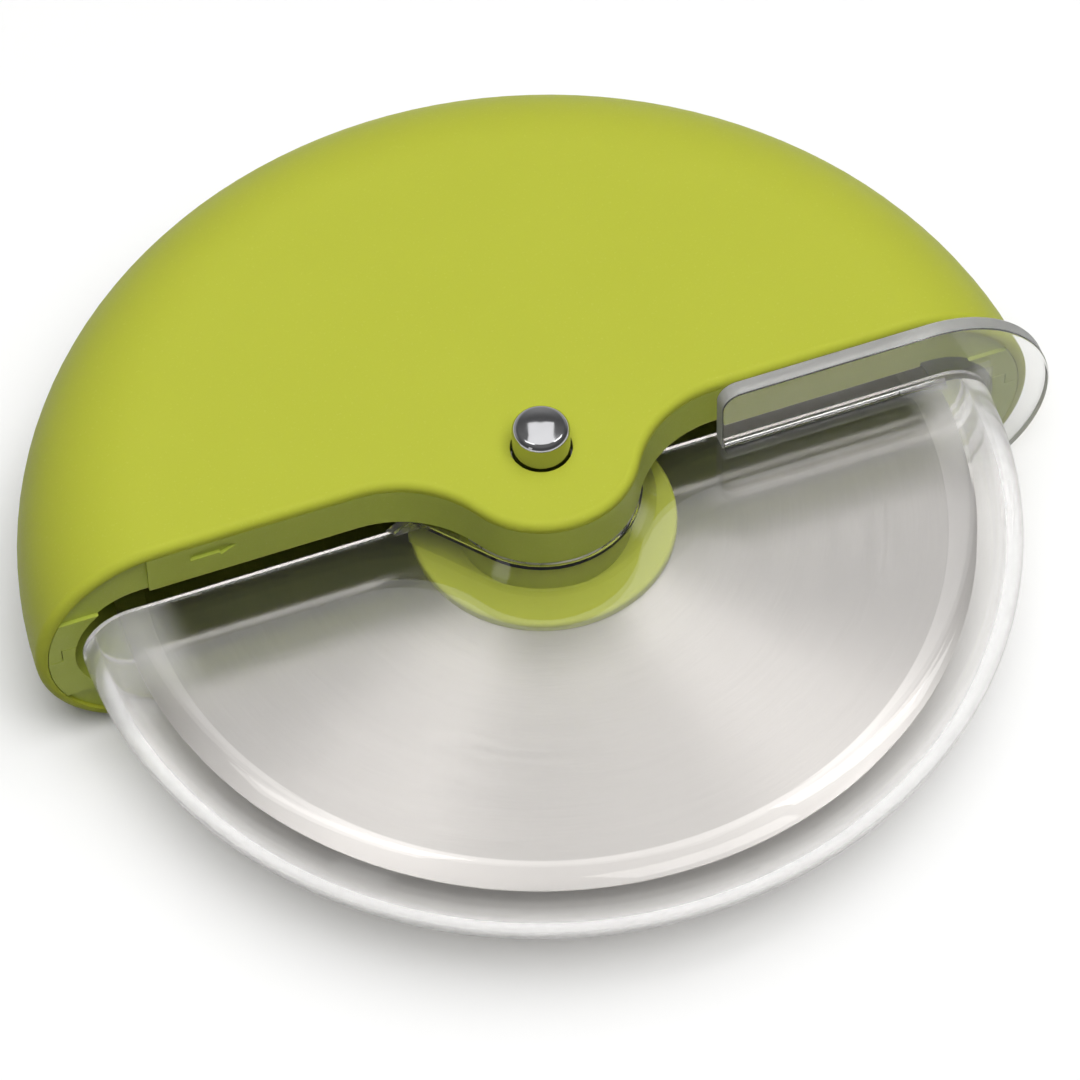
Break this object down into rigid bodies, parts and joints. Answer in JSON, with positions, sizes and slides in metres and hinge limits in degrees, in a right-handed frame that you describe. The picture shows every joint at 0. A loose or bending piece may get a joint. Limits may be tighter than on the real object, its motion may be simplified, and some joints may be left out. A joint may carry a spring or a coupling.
{
  "type": "pizza cutter",
  "caption": "Palm-held pizza cutter: a steel wheel on a pull-out axle in a half-round handle, with a clear guard that swings over the wheel or into the handle.",
  "frame": {"origin": "on the axle's axis, in the plane of the rear face that the cutter lies on", "axes": "+Z along the axle, out of the front face; +X along the mouth to the thumb tab; +Y into the handle"},
  "size_m": [0.1254, 0.1179, 0.0355],
  "materials": {
    "skin_green": "satin moulded plastic",
    "liner_green": "satin moulded plastic",
    "guard_clear": "clear polished plastic",
    "disc_steel": "circular brushed stainless",
    "hub_green": "glossy moulded plastic",
    "pin_chrome": "polished",
    "small_steel": "rolled stainless",
    "sleeve_white": "natural acetal"
  },
  "bodies": {
    "handle": {"handle_skin": "skin_green", "front_liner": "liner_green", "rear_liner": "liner_green", "front_washer": "small_steel", "rear_washer": "small_steel", "snap_ring": "small_steel"},
    "guard": {"blade_guard": "guard_clear"},
    "wheel": {"cutting_disc": "disc_steel", "front_hub": "hub_green", "rear_hub": "hub_green", "hub_sleeve": "sleeve_white", "hub_rivets": "small_steel"},
    "axle": {"axle_pin": "pin_chrome", "axle_cap": "hub_green"}
  },
  "joints": [
    {"name": "guard_swing", "type": "hinge", "parent": "handle", "child": "guard", "pos_m": [0, 0, 0.0156], "axis": [0, 0, 1], "range_deg": [-180, 0]},
    {"name": "wheel_spin", "type": "hinge", "parent": "handle", "child": "wheel", "pos_m": [0, 0, 0.0156], "axis": [0, 0, 1], "continuous": true},
    {"name": "axle_pull", "type": "slide", "parent": "handle", "child": "axle", "axis": [0, 0, -1], "range_m": [0, 0.037], "deforming": ["snap_ring"]}
  ]
}
